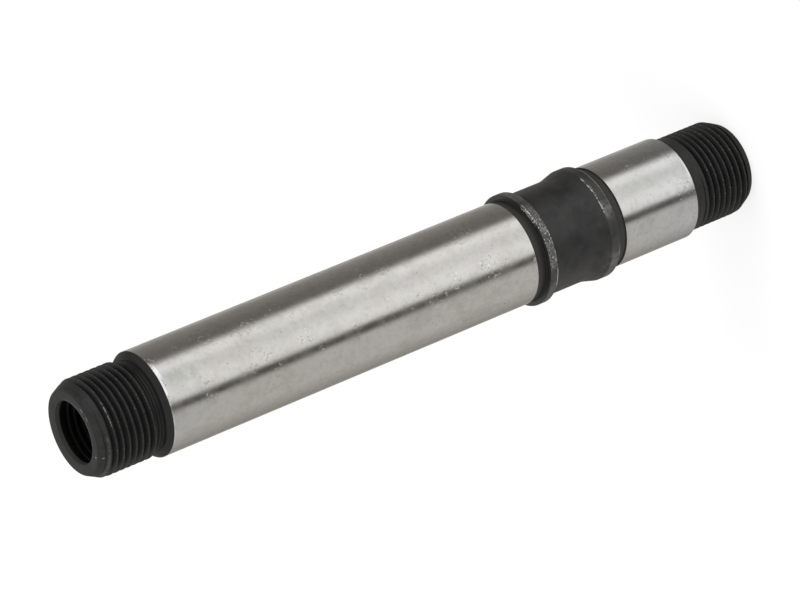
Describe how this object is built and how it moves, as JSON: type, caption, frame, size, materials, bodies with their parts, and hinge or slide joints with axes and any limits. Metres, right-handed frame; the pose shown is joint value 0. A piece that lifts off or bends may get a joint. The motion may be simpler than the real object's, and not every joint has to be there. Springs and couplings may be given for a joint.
{
  "type": "rear hub axle",
  "caption": "Turned steel rear hub axle with ground bearing seats, a collar and waisted shoulder, threaded ends and a bore tapped at both ends.",
  "frame": {"origin": "centre of the drive-side end face, on which the axle stands", "axes": "+Z along the axle's axis, from the drive side towards the other end"},
  "size_m": [0.0164, 0.0164, 0.1113],
  "materials": {
    "axle_steel": "bearing seats ground bright, threads, grooves, collar, waist and land black oxide"
  },
  "bodies": {
    "root": {"axle": "axle_steel"}
  },
  "joints": []
}
